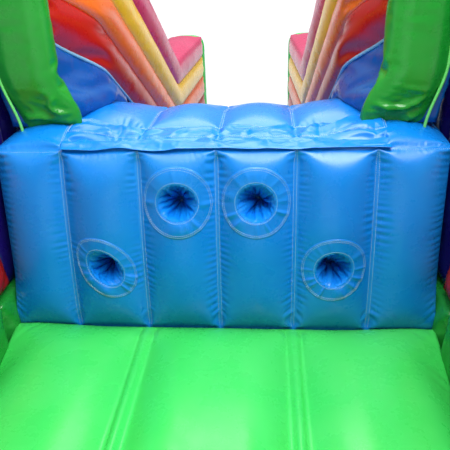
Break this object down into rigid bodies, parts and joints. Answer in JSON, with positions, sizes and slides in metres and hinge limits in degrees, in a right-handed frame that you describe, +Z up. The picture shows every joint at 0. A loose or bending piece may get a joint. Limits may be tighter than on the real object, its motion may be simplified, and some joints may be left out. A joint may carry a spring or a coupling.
{
  "type": "inflatable bounce house",
  "caption": "Open-top inflatable bounce house: bounce floor, netted sides, climbing block with hold pockets, slide between rainbow-banded walls, and a blower.",
  "frame": {"origin": "ground level at the middle of the whole footprint", "axes": "+Z up, +Y from the entrance towards the foot of the slide, +X to the right when walking in"},
  "size_m": [2.4264, 6.2003, 2.5703],
  "materials": {
    "black_netting": "matte",
    "black_plastic": "satin",
    "black_webbing": "matte",
    "blower_plastic": "satin",
    "blue_vinyl": "gloss",
    "green_post_vinyl": "gloss",
    "green_vinyl": "gloss",
    "orange_vinyl": "gloss",
    "pink_vinyl": "gloss",
    "plated_steel": "satin",
    "pocket_vinyl": "gloss",
    "purple_vinyl": "gloss",
    "red_vinyl": "gloss",
    "yellow_vinyl": "gloss",
    "zip_tape": "matte"
  },
  "bodies": {
    "structure": {"anchor_tab_front_left": "black_webbing", "anchor_tab_front_right": "black_webbing", "anchor_tab_rear_left": "black_webbing", "anchor_tab_rear_right": "black_webbing", "blower_base": "black_plastic", "blower_housing": "blower_plastic", "blower_motor": "black_plastic", "border_front": "green_vinyl", "border_left": "green_vinyl", "border_right": "green_vinyl", "bounce_floor": "green_vinyl", "bumper_left": "red_vinyl", "bumper_right": "red_vinyl", "carry_handle": "black_plastic", "climbing_block": "blue_vinyl", "end_post_left": "green_vinyl", "end_post_right": "green_vinyl", "entrance_step": "blue_vinyl", "front_arch": "yellow_vinyl", "hold_patch_lower_left": "blue_vinyl", "hold_patch_lower_right": "blue_vinyl", "hold_patch_upper_left": "blue_vinyl", "hold_patch_upper_right": "blue_vinyl", "hold_pocket_lower_left": "pocket_vinyl", "hold_pocket_lower_right": "pocket_vinyl", "hold_pocket_upper_left": "pocket_vinyl", "hold_pocket_upper_right": "pocket_vinyl", "inflation_sleeve": "green_vinyl", "inlet_grille": "black_plastic", "pillar_front_left": "purple_vinyl", "pillar_front_right": "purple_vinyl", "pillar_rear_left": "purple_vinyl", "pillar_rear_right": "purple_vinyl", "side_net_left": "black_netting", "side_net_right": "black_netting", "slide_bed": "blue_vinyl", "slide_post_left": "green_post_vinyl", "slide_post_right": "green_post_vinyl", "slide_side_left": "blue_vinyl", "slide_side_right": "blue_vinyl", "switch_box": "black_plastic", "top_rail_left": "red_vinyl", "top_rail_right": "red_vinyl", "wall_band_orange_left": "orange_vinyl", "wall_band_orange_right": "orange_vinyl", "wall_band_pink_left": "pink_vinyl", "wall_band_pink_right": "pink_vinyl", "wall_band_red_left": "red_vinyl", "wall_band_red_right": "red_vinyl", "wall_band_yellow_left": "yellow_vinyl", "wall_band_yellow_right": "yellow_vinyl", "zip_track": "zip_tape"},
    "zip_cover": {"zip_cover_flap": "blue_vinyl"},
    "zip_slider": {"zip_slider": "plated_steel"},
    "impeller": {"impeller": "plated_steel"},
    "rocker": {"rocker_switch": "red_vinyl"},
    "ring_front_left": {"anchor_ring_front_left": "plated_steel"},
    "ring_front_right": {"anchor_ring_front_right": "plated_steel"},
    "ring_rear_left": {"anchor_ring_rear_left": "plated_steel"},
    "ring_rear_right": {"anchor_ring_rear_right": "plated_steel"}
  },
  "joints": [
    {"name": "zip_cover_hinge", "type": "hinge", "parent": "structure", "child": "zip_cover", "pos_m": [0.025, -0.10015, 0.9418], "axis": [-1, 0, 0], "range_deg": [0, 90]},
    {"name": "zip_slider_travel", "type": "slide", "parent": "structure", "child": "zip_slider", "axis": [1, 0, 0], "range_m": [0, 1.1]},
    {"name": "impeller_spin", "type": "hinge", "parent": "structure", "child": "impeller", "pos_m": [1.02, 0.96545, 0.262], "axis": [1, 0, 0], "continuous": true},
    {"name": "rocker_press", "type": "hinge", "parent": "structure", "child": "rocker", "pos_m": [1.12375, 0.96545, 0.04], "axis": [0, 1, 0], "range_deg": [0, 14]},
    {"name": "ring_front_left_swing", "type": "hinge", "parent": "structure", "child": "ring_front_left", "pos_m": [-1.2068, -2.50015, 0.105], "axis": [0, 1, 0], "range_deg": [0, 150]},
    {"name": "ring_front_right_swing", "type": "hinge", "parent": "structure", "child": "ring_front_right", "pos_m": [1.2068, -2.50015, 0.105], "axis": [0, -1, 0], "range_deg": [0, 150]},
    {"name": "ring_rear_left_swing", "type": "hinge", "parent": "structure", "child": "ring_rear_left", "pos_m": [-1.2068, 0.31985, 0.105], "axis": [0, 1, 0], "range_deg": [0, 150]},
    {"name": "ring_rear_right_swing", "type": "hinge", "parent": "structure", "child": "ring_rear_right", "pos_m": [1.2068, 0.31985, 0.105], "axis": [0, -1, 0], "range_deg": [0, 150]}
  ]
}
